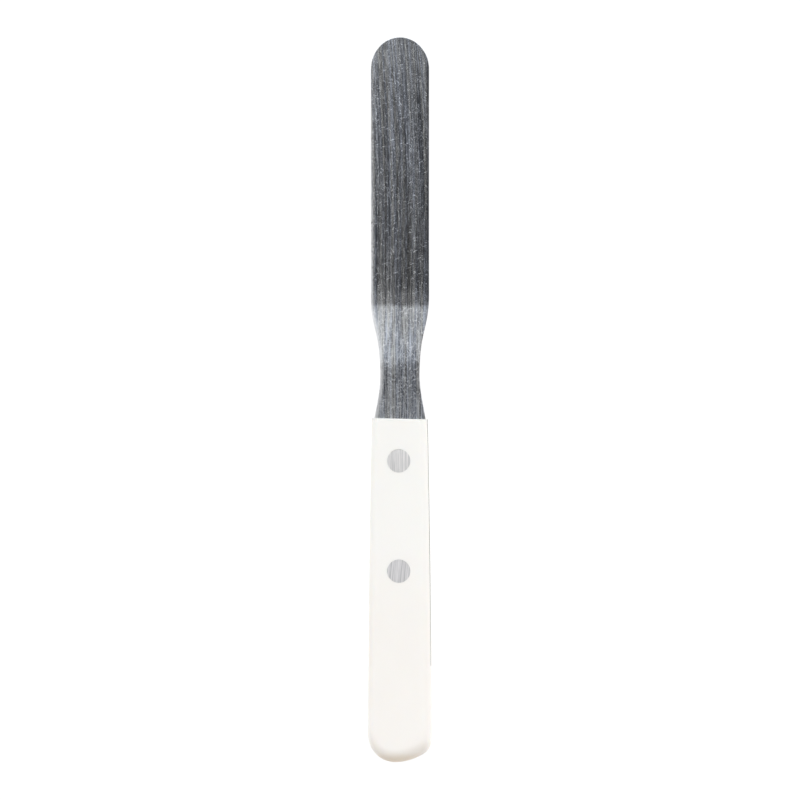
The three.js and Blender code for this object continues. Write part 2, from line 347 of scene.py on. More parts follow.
def handle_half_width(back):
    """Half of the handle's width, a distance behind its front edge."""
    share = min(back / (HANDLE_LENGTH - BUTT_LEFT_RADIUS), 1.0)
    growth = share * (1 + SIDE_BOW * (1 - share))
    return lerp(HANDLE_FRONT_WIDTH, HANDLE_REAR_WIDTH, growth) / 2


def side_stations(start, end, steps, *kept):
    """Distances from start to end, evenly spaced, with each kept distance among them."""
    backs = [lerp(start, end, i / steps) for i in range(steps + 1)]
    for value in kept:
        nearest = min(range(1, steps), key=lambda i: abs(backs[i] - value))
        backs[nearest] = value
    return backs


def new_piece(name, mesh):
    """An object at the origin, with its place in its mesh."""
    piece = bpy.data.objects.new(name, mesh)
    bpy.context.scene.collection.objects.link(piece)
    return piece


def mark_sharp_edges(mesh, degrees):
    """Shades a mesh smooth apart from its real corners."""
    bm = bmesh.new()
    bm.from_mesh(mesh)
    limit = math.radians(degrees)
    for face in bm.faces:
        face.smooth = True
    for edge in bm.edges:
        edge.smooth = len(edge.link_faces) == 2 and edge.calc_face_angle() < limit
    bm.to_mesh(mesh)
    bm.free()


def lay_brush_map(mesh):
    """A UV map whose U runs across the brushing and whose V runs along it."""
    layer = mesh.uv_layers.new(name=BRUSH_MAP)
    for polygon in mesh.polygons:
        on_side = abs(polygon.normal.z) < SIDE_WALL_NORMAL
        for loop in polygon.loop_indices:
            p = mesh.vertices[mesh.loops[loop].vertex_index].co
            across = p.z if on_side else p.x
            layer.data[loop].uv = (across * BRUSH_SCALE, p.y * BRUSH_SCALE)


# ---- Blade --------------------------------------------------------------------------------------


def blade_right_side():
    """The blade's right outline from the tang's rear corner to the tip, with y from the front
    edge of the handle."""
    heel = HEEL_WIDTH / 2
    neck = NECK_WIDTH / 2
    full = BLADE_WIDTH / 2
    half = handle_half_width(TANG_LENGTH) - TANG_INSET
    flare = handle_half_width(FLARE_BACK) - TANG_INSET
    rise = SHOULDER_AT - NECK_AT
    tip_y = BLADE_REACH - TIP_LENGTH
    radius = TANG_CORNER_RADIUS
    corner = arc(half - radius, radius - TANG_LENGTH, radius, radius, -math.pi / 2, 0,
                 TANG_CORNER_STEPS)
    steps = round((TANG_LENGTH - FLARE_BACK) / OUTLINE_STEP)
    backs = side_stations(TANG_LENGTH - radius, FLARE_BACK, steps)[:-1]
    tang = [Vector((handle_half_width(b) - TANG_INSET, -b)) for b in backs]
    flared = bezier([(flare, -FLARE_BACK), ((flare + heel) / 2, -FLARE_BACK / 3), (heel, 0)],
                    FLARE_STEPS)
    waist = bezier([(heel, 0), ((neck + heel) / 2, NECK_AT * HEEL_EASE),
                    (neck, NECK_AT * (1 - NECK_REAR_EASE)), (neck, NECK_AT)], WAIST_STEPS)
    shoulder = bezier([(neck, NECK_AT), (neck, NECK_AT + rise * NECK_FRONT_EASE),
                       (full, SHOULDER_AT - rise * SHOULDER_EASE), (full, SHOULDER_AT)],
                      SHOULDER_STEPS)
    straight_steps = round((tip_y - SHOULDER_AT) / OUTLINE_STEP)
    straight = bezier([(full, SHOULDER_AT), (full, tip_y)], straight_steps)
    tip = arc(0, tip_y, full, TIP_LENGTH, 0, math.pi / 2, TIP_STEPS)
    side = corner + tang + flared + waist + shoulder + straight + tip
    return with_crease(side) + [Vector((0, BLADE_REACH))]


def with_crease(side):
    """The outline with two close points astride the crease, so that it stays crisp."""
    place = next(i for i, p in enumerate(side) if p.y > CREASE_AT)
    before, after = side[place - 1], side[place]
    made = []
    for y in (CREASE_AT - CREASE_GAP, CREASE_AT, CREASE_AT + CREASE_GAP):
        share = (y - before.y) / (after.y - before.y)
        made.append(Vector((lerp(before.x, after.x, share), y)))
    kept = [p for p in side if abs(p.y - CREASE_AT) > 2 * CREASE_GAP]
    place = next(i for i, p in enumerate(kept) if p.y > CREASE_AT)
    return kept[:place] + made + kept[place:]


def drawn_in(outline, inset):
    """A closed counter-clockwise outline moved inward by a distance."""
    count = len(outline)
    moved = []
    for i, p in enumerate(outline):
        along = (outline[(i + 1) % count] - outline[i - 1]).normalized()
        moved.append(p + Vector((-along.y, along.x)) * inset)
    return moved


def side_wear(before, after):
    """How much of the worn edge shows at a point of the outline: all of it along the straight
    sides, and none where the outline slants or turns across the grinding."""
    along = (after - before).normalized()
    straight = max(1 - abs(along.x) / WORN_SLANT, 0.0) ** 2
    behind = (before.y - WORN_FROM) / WORN_FADE
    beyond = (BLADE_REACH - TIP_LENGTH / 2 - before.y) / WORN_FADE
    share = min(max(min(behind, beyond), 0.0), 1.0)
    return straight * share * share * (3 - 2 * share)


def blade_blank():
    """The blade's plan as a closed plate from z = -1 to z = 1, with its edge rings and holes. The
    tree below turns those heights into real ones."""
    right = blade_right_side()
    left = [Vector((-p.x, p.y)) for p in reversed(right[:-1])]
    tip = len(right) - 1
    split = next(i for i, p in enumerate(right) if p.y > STRIPS_FROM)
    bm = bmesh.new()
    rings = edge_rings(bm, right + left)
    lay_edges(bm, rings)
    lay_strips(bm, rings, split, tip)
    fill_tang(bm, rings, split, tip)
    bmesh.ops.recalc_face_normals(bm, faces=bm.faces)
    mesh = bpy.data.meshes.new("blade")
    bm.to_mesh(mesh)
    bm.free()
    return mesh


def edge_rings(bm, outline):
    """Rings of points from the outline inward, by side (1 above, -1 below) and place in
    EDGE_RINGS. Each point keeps its distance from the edge, in millimetres."""
    count = len(outline)
    from_edge = bm.verts.layers.float.new(EDGE_DISTANCE)
    wear = [side_wear(outline[i - 1], outline[(i + 1) % count]) for i in range(count)]
    rings = {}
    for sign in (1, -1):
        for k, (inset, broken, worn) in enumerate(EDGE_RINGS):
            ring = drawn_in(outline, inset * MM)
            rings[sign, k] = [bm.verts.new((p.x, p.y, sign * lerp(broken, worn, w)))
                              for p, w in zip(ring, wear)]
            for vert in rings[sign, k]:
                vert[from_edge] = inset
    return rings


def lay_edges(bm, rings):
    """The blade's side wall, and the sloping border of both faces."""
    count = len(rings[1, 0])
    for i in range(count):
        j = (i + 1) % count
        bm.faces.new((rings[-1, 0][i], rings[-1, 0][j], rings[1, 0][j], rings[1, 0][i]))
        for k in range(INNERMOST):
            upper, inner = rings[1, k], rings[1, k + 1]
            bm.faces.new((upper[i], upper[j], inner[j], inner[i]))
            lower, inner = rings[-1, k], rings[-1, k + 1]
            bm.faces.new((lower[j], lower[i], inner[i], inner[j]))


def lay_strips(bm, rings, split, tip):
    """Both faces in front of the handle, in strips across the blade up to its tip."""
    for sign in (1, -1):
        ring = rings[sign, INNERMOST]
        for i in range(split, tip - 1):
            corners = (ring[i], ring[i + 1], ring[2 * tip - i - 1], ring[2 * tip - i])
            bm.faces.new(corners if sign > 0 else tuple(reversed(corners)))
        cap = (ring[tip - 1], ring[tip], ring[tip + 1])
        bm.faces.new(cap if sign > 0 else tuple(reversed(cap)))


def circle_points(radius, y, sides):
    """Points round a circle that is centred on the handle's middle line."""
    angles = [2 * math.pi * i / sides for i in range(sides)]
    return [(radius * math.cos(a), y + radius * math.sin(a)) for a in angles]


def fill_tang(bm, rings, split, tip):
    """The flat faces of the tang, and the two rivet holes through it."""
    holes = {}
    for sign in (1, -1):
        ring = rings[sign, INNERMOST]
        edges = closed_edges(bm, ring[2 * tip - split:] + ring[:split + 1])
        for y in RIVET_YS:
            circle = circle_points(HOLE_RADIUS, y - FRONT_Y, TANG_HOLE_SIDES)
            hole = [bm.verts.new((px, py, sign)) for px, py in circle]
            for vert in hole:
                vert[bm.verts.layers.float[EDGE_DISTANCE]] = EDGE_RINGS[-1][0]
            holes[sign, y] = hole
            edges += closed_edges(bm, hole)
        bmesh.ops.triangle_fill(bm, edges=edges, use_beauty=True, use_dissolve=False)
    for y in RIVET_YS:
        bridge(bm, holes[1, y], holes[-1, y])


def closed_edges(bm, ring):
    """The edges round a closed ring of points, new ones where there are none."""
    pairs = zip(ring, ring[1:] + ring[:1])
    return [bm.edges.get(pair) or bm.edges.new(pair) for pair in pairs]


def bridge(bm, first, second):
    """A wall of quads between two rings of the same count."""
    count = len(first)
    for i in range(count):
        j = (i + 1) % count
        bm.faces.new((first[i], first[j], second[j], second[i]))


# What the grinding tree's named inputs are set to.
GRINDING_SIZES = {
    "Handle front": FRONT_Y,
    "Middle height": MID_Z,
    "Stock thickness": STOCK_THICKNESS,
    "Taper root": TAPER_ROOT_AT,
    "Taper blend": TAPER_BLEND,
    "Crease": CREASE_AT,
    "Crease thickness": CREASE_THICKNESS,
    "Crease blend": CREASE_BLEND,
    "Tip": BLADE_REACH,
    "Tip thickness": TIP_THICKNESS,
}


def new_tree(name, inputs):
    """An empty Geometry Nodes tree with a geometry in and out, and named inputs for its sizes."""
    tree = bpy.data.node_groups.new(name, "GeometryNodeTree")
    tree.interface.new_socket("Geometry", in_out="INPUT", socket_type="NodeSocketGeometry")
    for size_name, kind in inputs.items():
        tree.interface.new_socket(size_name, in_out="INPUT", socket_type=kind)
    tree.interface.new_socket("Geometry", in_out="OUTPUT", socket_type="NodeSocketGeometry")
    return tree


def grinding_tree(steel):
    """Grinds a flat blank to its real thickness: stock, then a taper that starts softly and ends
    at a crease, then a thin strip that thins on to the tip."""
    tree = new_tree("ground_thickness", {name: "NodeSocketFloat" for name in GRINDING_SIZES})
    n = Nodes(tree)
    given = n.add("NodeGroupInput").outputs
    position = n.add("GeometryNodeInputPosition").outputs[0]
    x, y, z = n.add("ShaderNodeSeparateXYZ", {0: position}).outputs

    def line(from_y, to_y, from_thickness, to_thickness):
        inputs = {
            "Value": y, "From Min": given[from_y], "From Max": given[to_y],
            "To Min": given[from_thickness], "To Max": given[to_thickness],
        }
        return n.add("ShaderNodeMapRange", inputs, clamp=False).outputs["Result"]

    taper = line("Taper root", "Crease", "Stock thickness", "Crease thickness")
    strip = line("Crease", "Tip", "Crease thickness", "Tip thickness")
    rear = n.math("SMOOTH_MIN", given["Stock thickness"], taper, given["Taper blend"])
    thickness = n.math("SMOOTH_MAX", rear, strip, given["Crease blend"])
    height = n.math("MULTIPLY", n.math("MULTIPLY", z, 0.5), thickness)
    place = n.add("ShaderNodeCombineXYZ", {
        "X": x,
        "Y": n.math("ADD", y, given["Handle front"]),
        "Z": n.math("ADD", height, given["Middle height"]),
    })
    moving = {"Geometry": given["Geometry"], "Position": place.outputs[0]}
    moved = n.add("GeometryNodeSetPosition", moving)
    real = n.add("GeometryNodeRealizeInstances", {"Geometry": moved.outputs[0]})
    coated = n.add("GeometryNodeSetMaterial", {"Geometry": real.outputs[0], "Material": steel})
    n.add("NodeGroupOutput", {"Geometry": coated.outputs[0]})
    return tree


def taken_from_tree(name, mesh, tree, sizes):
    """Runs a Geometry Nodes tree on a mesh, with its sizes, and gives its result as a plain mesh."""
    holder = new_piece(name + "_blank", mesh)
    modifier = holder.modifiers.new("tree", "NODES")
    modifier.node_group = tree
    for item in tree.interface.items_tree:
        if item.in_out == "INPUT" and item.name in sizes:
            modifier[item.identifier] = sizes[item.name]
    evaluated = holder.evaluated_get(bpy.context.evaluated_depsgraph_get())
    made = bpy.data.meshes.new_from_object(evaluated)
    bpy.data.objects.remove(holder)
    made.name = name
    return made


def make_blade(steel):
    """The blade and its tang, in one piece."""
    mesh = taken_from_tree("ground_blade", blade_blank(), grinding_tree(steel), GRINDING_SIZES)
    mark_sharp_edges(mesh, BLADE_SHARP_DEGREES)
    lay_brush_map(mesh)
    piece = new_piece("ground_blade", mesh)
    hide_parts("blade")
    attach(piece, BODY)


# ---- Handle -------------------------------------------------------------------------------------


def round_inset(depth, radius):
    """How far a rounded edge draws the outline in, at a depth below the flat face."""
    rise = max(1 - depth / radius, 0.0)
    return radius * (1 - math.sqrt(1 - rise * rise))


def handle_outline(front, side, butt):
    """The handle's outline, counter-clockwise from its front left corner, drawn in at the front,
    sides and butt. Every outline has the same number of points."""
    half = HANDLE_REAR_WIDTH / 2 - side
    end = butt - HANDLE_LENGTH
    left_radius = BUTT_LEFT_RADIUS - side
    run = 2 * half - left_radius
    rise = BUTT_RIGHT_RISE * run / (HANDLE_REAR_WIDTH - BUTT_LEFT_RADIUS)
    right_radius = (run ** 2 + rise ** 2) / (2 * rise)
    corner = BUTT_CORNER_RADIUS - side
    lowest_x = left_radius - half
    corner_x = half - corner
    drop = math.sqrt((right_radius - corner) ** 2 - (corner_x - lowest_x) ** 2)
    corner_y = end + right_radius - drop
    corner_angle = -math.atan2(drop, corner_x - lowest_x)
    skew = FRONT_OUT_OF_SQUARE / 2
    left_backs = side_stations(front - skew, -(end + left_radius), SIDE_STEPS, SLOT_LENGTH)
    right_backs = side_stations(front + skew, -corner_y, SIDE_STEPS, SLOT_LENGTH)
    left = [Vector((side - handle_half_width(max(b, 0)), -b)) for b in left_backs]
    right = [Vector((handle_half_width(max(b, 0)) - side, -b)) for b in reversed(right_backs)]
    round_left = arc(lowest_x, end + left_radius, left_radius, left_radius,
                     math.pi, 1.5 * math.pi, BUTT_LEFT_STEPS)
    flat_right = arc(lowest_x, end + right_radius, right_radius, right_radius,
                     -0.5 * math.pi, corner_angle, BUTT_RIGHT_STEPS)
    small = arc(corner_x, corner_y, corner, corner, corner_angle, 0, BUTT_CORNER_STEPS)
    across = [left[0].lerp(right[-1], i / FRONT_STEPS) for i in range(FRONT_STEPS - 1, 0, -1)]
    return left[:-1] + round_left + flat_right + small + right + across


def round_depths():
    """Depths below the flat face at which the handle's outlines are drawn, shallow ones close."""
    angles = [math.pi / 2 * i / ROUND_DEPTHS for i in range(ROUND_DEPTHS + 1)]
    return [BUTT_ROUND * (1 - math.cos(angle)) for angle in angles]


def handle_mesh():
    """The handle as two stacks of outlines, one above the slot and one below it, joined behind
    the slot."""
    bm = bmesh.new()
    depths = round_depths()
    heights = [HALF_THICKNESS - d for d in depths] + [STOCK_THICKNESS / 2]
    radii = (FRONT_ROUND, SIDE_ROUND, BUTT_ROUND)
    outlines = [handle_outline(*[round_inset(depth, radius) for radius in radii])
                for depth in depths]
    outlines.append(outlines[-1])
    last = len(heights) - 1
    rings = {}
    for sign in (1, -1):
        for k, (z, outline) in enumerate(zip(heights, outlines)):
            height = MID_Z + sign * z
            rings[sign, k] = [bm.verts.new((p.x, p.y + FRONT_Y, height)) for p in outline]
        for k in range(last):
            bridge(bm, rings[sign, k], rings[sign, k + 1])
    left_end, right_end = slot_corners(outlines[-1])
    upper, lower = rings[1, last], rings[-1, last]
    for i in range(left_end, right_end):
        bm.faces.new((upper[i], upper[i + 1], lower[i + 1], lower[i]))
    bm.faces.new((upper[right_end], upper[left_end], lower[left_end], lower[right_end]))
    for sign in (1, -1):
        border = rings[sign, last][right_end:] + rings[sign, last][:left_end + 1]
        inner = flat_margin(bm, rings[sign, 0], MID_Z + sign * HALF_THICKNESS)
        drill(bm, inner, border, sign)
    bmesh.ops.recalc_face_normals(bm, faces=bm.faces)
    mesh = bpy.data.meshes.new("slotted_handle")
    bm.to_mesh(mesh)
    bm.free()
    return mesh


def slot_corners(outline):
    """The places in an outline where the slot ends, at the left and at the right."""
    found = [i for i, p in enumerate(outline) if abs(p.y + SLOT_LENGTH) < SAME_PLACE]
    return found[0], found[-1]


def flat_margin(bm, ring, z):
    """A narrow strip inside the flat face's border, which keeps the face's shading flat."""
    outline = [Vector((v.co.x, v.co.y)) for v in ring]
    inner = [bm.verts.new((p.x, p.y, z)) for p in drawn_in(outline, FLAT_MARGIN)]
    bridge(bm, ring, inner)
    return inner


def drill(bm, face_border, slot_border, sign):
    """Fills the handle's flat face and the slot's wall on one side, and joins them by the stepped
    rivet holes."""
    heights = [HALF_THICKNESS, HALF_THICKNESS - HOLE_BEVEL, SEAT_HEIGHT, SEAT_HEIGHT,
               STOCK_THICKNESS / 2]
    radii = [SEAT_RADIUS + HOLE_BEVEL, SEAT_RADIUS, SEAT_RADIUS, HOLE_RADIUS, HOLE_RADIUS]
    face_edges = closed_edges(bm, face_border)
    slot_edges = closed_edges(bm, slot_border)
    for y in RIVET_YS:
        rings = []
        for radius, height in zip(radii, heights):
            z = MID_Z + sign * height
            circle = circle_points(radius, y, RIVET_SIDES)
            rings.append([bm.verts.new((px, py, z)) for px, py in circle])
        for first, second in zip(rings, rings[1:]):
            bridge(bm, first, second)
        face_edges += closed_edges(bm, rings[0])
        slot_edges += closed_edges(bm, rings[-1])
    bmesh.ops.triangle_fill(bm, edges=face_edges, use_beauty=True, use_dissolve=False)
    bmesh.ops.triangle_fill(bm, edges=slot_edges, use_beauty=True, use_dissolve=False)


def make_handle(plastic):
    """The handle, in one piece."""
    mesh = handle_mesh()
    mark_sharp_edges(mesh, HANDLE_SHARP_DEGREES)
    mesh.materials.append(plastic)
    piece = new_piece("slotted_handle", mesh)
    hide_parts("handle")
    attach(piece, BODY)


# ---- Rivets -------------------------------------------------------------------------------------


# What the rivet tree's named inputs are set to.
ROW_SIZES = {
    "Count": len(RIVET_YS),
    "First place": (0.0, RIVET_YS[0], MID_Z),
    "Pitch": (0.0, RIVET_YS[1] - RIVET_YS[0], 0.0),
}


def rivet_tree(metal):
    """Repeats a turned rivet half along the handle."""
    tree = new_tree("rivet_row", {
        "Count": "NodeSocketInt",
        "First place": "NodeSocketVector",
        "Pitch": "NodeSocketVector",
    })
    n = Nodes(tree)
    given = n.add("NodeGroupInput").outputs
    row = n.add("GeometryNodeMeshLine", {
        "Count": given["Count"],
        "Start Location": given["First place"],
        "Offset": given["Pitch"],
    })
    placing = {"Points": row.outputs[0], "Instance": given["Geometry"]}
    placed = n.add("GeometryNodeInstanceOnPoints", placing)
    real = n.add("GeometryNodeRealizeInstances", {"Geometry": placed.outputs[0]})
    coated = n.add("GeometryNodeSetMaterial", {"Geometry": real.outputs[0], "Material": metal})
    n.add("NodeGroupOutput", {"Geometry": coated.outputs[0]})
    return tree


def turned_mesh(name, profile):
    """A body of revolution about Z from (radius, height) pairs that start and end on the axis."""
    bm = bmesh.new()
    rings = []
    for radius, height in profile:
        if radius == 0:
            rings.append([bm.verts.new((0, 0, height))])
        else:
            circle = circle_points(radius, 0, RIVET_SIDES)
            rings.append([bm.verts.new((px, py, height)) for px, py in circle])
    for first, second in zip(rings, rings[1:]):
        if len(first) == 1 or len(second) == 1:
            centre, ring = (first[0], second) if len(first) == 1 else (second[0], first)
            for a, b in zip(ring, ring[1:] + ring[:1]):
                bm.faces.new((centre, a, b))
        else:
            bridge(bm, first, second)
    bmesh.ops.recalc_face_normals(bm, faces=bm.faces)
    mesh = bpy.data.meshes.new(name)
    bm.to_mesh(mesh)
    bm.free()
    return mesh


def head_profile(direction):
    """A flush head from its centre to its seat, with a broken edge. direction is 1 for the upper
    side and -1 for the lower."""
    face = HALF_THICKNESS - HEAD_BELOW_FACE
    return [
        (0, direction * face),
        (HEAD_RADIUS - HEAD_FLAT_MARGIN, direction * face),
        (HEAD_RADIUS - HEAD_BEVEL, direction * (face - HEAD_CROWN)),
        (HEAD_RADIUS - HEAD_BEVEL / 3, direction * (face - 0.4 * HEAD_BEVEL)),
        (HEAD_RADIUS, direction * (face - HEAD_BEVEL)),
        (HEAD_RADIUS, direction * SEAT_HEIGHT),
    ]


def socket_profile():
    """The upper half: a head, and under it a tube that is open below."""
    roof = SEAT_HEIGHT - SOCKET_ROOF
    mouth = FRONT_SOCKET_LOW.z - MID_Z
    tube = [(SOCKET_RADIUS, SEAT_HEIGHT), (SOCKET_RADIUS, mouth), (BORE_RADIUS, mouth)]
    return head_profile(1) + tube + [(BORE_RADIUS, roof), (0, roof)]


def stud_profile():
    """The lower half: a head, and on it the stud that goes up into the tube."""
    top = FRONT_STUD_HIGH.z - MID_Z
    return head_profile(-1) + [(STUD_RADIUS, -SEAT_HEIGHT), (STUD_RADIUS, top), (0, top)]


def make_rivets(metal):
    """Both sockets as one piece and both studs as another."""
    tree = rivet_tree(metal)
    for name, profile, half in (("rivet_sockets", socket_profile(), "socket"),
                                ("rivet_studs", stud_profile(), "stud")):
        mesh = taken_from_tree(name, turned_mesh(name, profile), tree, ROW_SIZES)
        mark_sharp_edges(mesh, RIVET_SHARP_DEGREES)
        lay_brush_map(mesh)
        piece = new_piece(name, mesh)
        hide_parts(f"front_rivet_{half}", f"rear_rivet_{half}")
        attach(piece, BODY)


# ---- Materials ----------------------------------------------------------------------------------

# How close each pattern repeats across, along and through a piece, in repeats a metre.
HAIR_LINES = (2900, 14, 2900)
SHORT_LINES = (3000, 220, 3000)
BROAD_BANDS = (520, 9, 520)
STEEL_GRAIN = (2900, 2300, 2900)
STEEL_TINT = (1100, 16, 1100)
STEEL_NICKS = (1500, 1150, 1500)
STEEL_SCRATCHES = (3000, 520, 3000)
PLASTIC_CLOUDS = (60, 25, 60)
PLASTIC_GRAIN = (2400, 900, 2400)
PLASTIC_MARKS = (3200, 60, 3200)
RIVET_COARSE_LINES = (3000, 60, 3000)
RIVET_FINE_LINES = (3200, 300, 3200)

# The grinding lines lean a little past this place, on their way to the tip.
LEAN_FROM = 60 * MM
LEAN = 0.6
SCRATCH_SLANTS = (-38, 32, 68, 4)

COOL_STEEL = ((0.175, 0.186, 0.208, 1), (0.62, 0.655, 0.72, 1))
PLAIN_STEEL = ((0.19, 0.19, 0.19, 1), (0.65, 0.65, 0.63, 1))
# Painted highlight for the blade's left edge, and painted shade for its right edge.
HIGHLIGHT_ON_LEFT_EDGE = (0.97, 0.965, 0.96, 1)
SHADE_ON_RIGHT_EDGE = (0.12, 0.12, 0.13, 1)
MARKED_STEEL = (0.95, 0.95, 0.95, 1)
# Painted shade on the tang inside the handle.
TANG_PAINTED_SHADE = (0.03, 0.03, 0.032, 1)

OFF_WHITE = ((0.974, 0.954, 0.898, 1), (0.988, 0.970, 0.916, 1))
HANDLED_TINT = (1.0, 0.974, 0.967, 1)
# Painted shade for the butt's rounded end.
BUTT_PAINTED_SHADE = (0.955, 0.885, 0.80, 1)
# Painted shade for the handle's front end.
FRONT_END_PAINTED_SHADE = (0.87, 0.88, 0.885, 1)
# Painted shade on the slot's walls, darkest this far behind the front edge.
SLOT_PAINTED_SHADE = (0.08, 0.075, 0.07, 1)
SLOT_SHADE_DARKEST_AT = 42 * MM
PLASTIC_IOR = 1.48
SUBSURFACE_WEIGHT = 0.15
SUBSURFACE_RADIUS = (1.0, 0.8, 0.6)
SUBSURFACE_SCALE = 0.0012

RIVET_COLORS = ((0.63, 0.62, 0.605, 1), (0.98, 0.957, 0.933, 1))
REAR_RIVET_TINT = (0.89, 0.89, 0.905, 1)
REAR_RIVET_TURN = math.radians(5)


def new_material(name):
    """A material, the steps that go into it, and its shader."""
    material = bpy.data.materials.new(name)
    material.use_nodes = True
    shader = material.node_tree.nodes["Principled BSDF"]
    return material, Nodes(material.node_tree), shader


def place_on_piece(n):
    """A point of the piece, and its x, y and z."""
    point = n.add("ShaderNodeTexCoord").outputs["Object"]
    axes = n.add("ShaderNodeSeparateXYZ", {"Vector": point}).outputs
    return point, axes


def weighted(n, *layers):
    """The sum of patterns, each times its share."""
    total = None
    for value, share in layers:
        part = n.math("MULTIPLY", value, share)
        total = part if total is None else n.math("ADD", total, part)
    return total


def brushed_along(n):
    """The direction of the brushing, from the piece's own map."""
    return n.add("ShaderNodeTangent", direction_type="UV_MAP", uv_map=BRUSH_MAP).outputs[0]


def relief(n, height, strength, distance):
    """The surface's fine ups and downs."""
    bump = n.add("ShaderNodeBump", {"Height": height, "Strength": strength, "Distance": distance})
    return bump.outputs[0]


def blade_steel():
    """Steel ground lengthwise: hair-fine streaks, broader bands, nicks, and a coarser finish
    behind the crease, with painted highlight along the left edge and painted shade along the right
    edge and on the tang."""
    material, n, shader = new_material("blade_steel")
    point, axes = place_on_piece(n)
    ahead = n.math("SUBTRACT", axes[1], FRONT_Y)
    behind = n.ramp(ahead, CREASE_AT + 1.2 * MM, CREASE_AT - 1.0 * MM, smooth=True)
    inside = n.ramp(ahead, -0.3 * MM, -1.0 * MM)
    ground = grinding_marks(n, point, axes, ahead)
    bright, right_shade = lit_and_shaded_edges(n, axes, ahead)
    broken_up = n.ramp(weighted(n, (ground["short"], 0.5), (ground["grain"], 0.5)), 0.15, 0.45)
    broken_highlight = n.math("MULTIPLY", bright, broken_up)
    marks = n.math("MAXIMUM", nicks(n, point, behind), scratches(n, point, behind))
    color = ground_color(n, ground, ahead, behind)
    # Painted highlight along the left edge, and painted shade along the right edge.
    color = n.mix(broken_highlight, color, HIGHLIGHT_ON_LEFT_EDGE)
    color = n.mix(right_shade, color, SHADE_ON_RIGHT_EDGE)
    color = n.mix(marks, color, MARKED_STEEL)
    # Painted shade: the tang inside the handle is darkened, standing in for the slot's shadow.
    color = n.mix(inside, color, TANG_PAINTED_SHADE)
    rough = weighted(
        n, (ground_roughness(n, ground, ahead, behind), 1.0),
        (behind, 0.113), (broken_highlight, 0.16), (marks, 0.03), (inside, 0.8),
    )
    height = weighted(n, (ground["hair"], 0.6), (ground["short"], 0.4), (marks, 0.3))
    n.fill(shader, {
        "Base Color": color,
        "Roughness": rough,
        "Normal": relief(n, height, 0.6, 0.1 * MM),
        "Tangent": brushed_along(n),
        "Metallic": 1.0,
        "Anisotropic": 1.0,
    })
    return material


def grinding_marks(n, point, axes, ahead):
    """The patterns that the grinding left, from hair-fine lines to broad bands."""
    past = n.math("MAXIMUM", n.math("SUBTRACT", ahead, LEAN_FROM), 0.0)
    lean = n.math("MULTIPLY", n.math("MULTIPLY", past, past), LEAN)
    leaning = {"X": n.math("ADD", axes[0], lean), "Y": axes[1], "Z": axes[2]}
    lines = n.add("ShaderNodeCombineXYZ", leaning).outputs[0]
    return {
        "hair": n.noise(lines, HAIR_LINES, roughness=0.6),
        "short": n.noise(lines, SHORT_LINES, (3, 5, 1), detail=1.0),
        "band": n.noise(lines, BROAD_BANDS, (7, 2, 4)),
        "grain": n.noise(point, STEEL_GRAIN, (1, 8, 3), detail=1.0),
        "tint": n.noise(lines, STEEL_TINT, (5, 1, 9)),
    }


def ground_color(n, ground, ahead, behind):
    """Dark and light streaks, some cool and some plain, with less contrast near the tip."""
    calm = n.ramp(ahead, BLADE_REACH - 16 * MM, BLADE_REACH - 6 * MM, 0.0, 0.03)
    spread = n.math("ADD", n.ramp(behind, 0.0, 1.0, 0.112, 0.09), calm)
    middle = n.ramp(behind, 0.0, 1.0, 0.501, 0.513)
    streaks = weighted(
        n, (ground["hair"], 0.36), (ground["short"], 0.26),
        (ground["band"], 0.24), (ground["grain"], 0.14),
    )
    tone = n.ramp(streaks, n.math("SUBTRACT", middle, spread), n.math("ADD", middle, spread))
    cool = n.mix(tone, *COOL_STEEL)
    plain = n.mix(tone, *PLAIN_STEEL)
    return n.mix(n.ramp(ground["tint"], 0.40, 0.60), cool, plain)


def ground_roughness(n, ground, ahead, behind):
    """Streaked, smoother towards the crease, and rougher where the grinding ran out: just ahead
    of the crease, at the tip and at the handle."""
    fibres = weighted(n, (ground["short"], 0.4), (ground["hair"], 0.4), (ground["grain"], 0.2))
    streaked = n.ramp(fibres, 0.38, 0.62, 0.177, 0.256)
    fore = n.ramp(ahead, 45 * MM, 105 * MM, -0.025, 0.004)
    at_crease = n.ramp(ahead, CREASE_AT + 9 * MM, CREASE_AT, 0.0, 0.065, smooth=True)
    at_crease = n.math("MULTIPLY", at_crease, n.math("SUBTRACT", 1.0, behind))
    at_tip = n.ramp(ahead, BLADE_REACH - 16 * MM, BLADE_REACH - 8 * MM, 0.0, 0.02, smooth=True)
    at_handle = n.ramp(ahead, 8 * MM, 0.0, 0.0, 0.18, smooth=True)
    return weighted(n, (streaked, 1.0), (fore, 1.0), (at_crease, 1.0), (at_tip, 1.0), (at_handle, 1.0))


def lit_and_shaded_edges(n, axes, ahead):
    """How much painted highlight lightens the left edge, most of all round the neck, and how much
    painted shade darkens the right edge."""
    from_edge = n.add("ShaderNodeAttribute", attribute_name=EDGE_DISTANCE).outputs["Fac"]
    near = n.ramp(from_edge, 1.4, 0.2)
    at_tip = n.ramp(ahead, BLADE_REACH - 2 * MM, BLADE_REACH - 12 * MM, 0.15, 1.0)
    near = n.math("MULTIPLY", near, at_tip)
    left = n.math("LESS_THAN", axes[0], 0.0)
    right = n.math("SUBTRACT", 1.0, left)
    past_neck = n.ramp(ahead, 34 * MM, 42 * MM, 0.15, 0.85)
    right_shade = n.math("MULTIPLY", n.math("MULTIPLY", near, right), past_neck)
    past_heel = n.ramp(ahead, 12 * MM, 22 * MM, smooth=True)
    before_crease = n.ramp(ahead, 40 * MM, 34 * MM, smooth=True)
    neck = n.math("MULTIPLY", past_heel, before_crease)
    strength = n.math("MAXIMUM", neck, n.ramp(ahead, 100 * MM, 45 * MM, 0.26, 1.0))
    bright = n.math("MULTIPLY", n.math("MULTIPLY", near, left), strength)
    return bright, right_shade


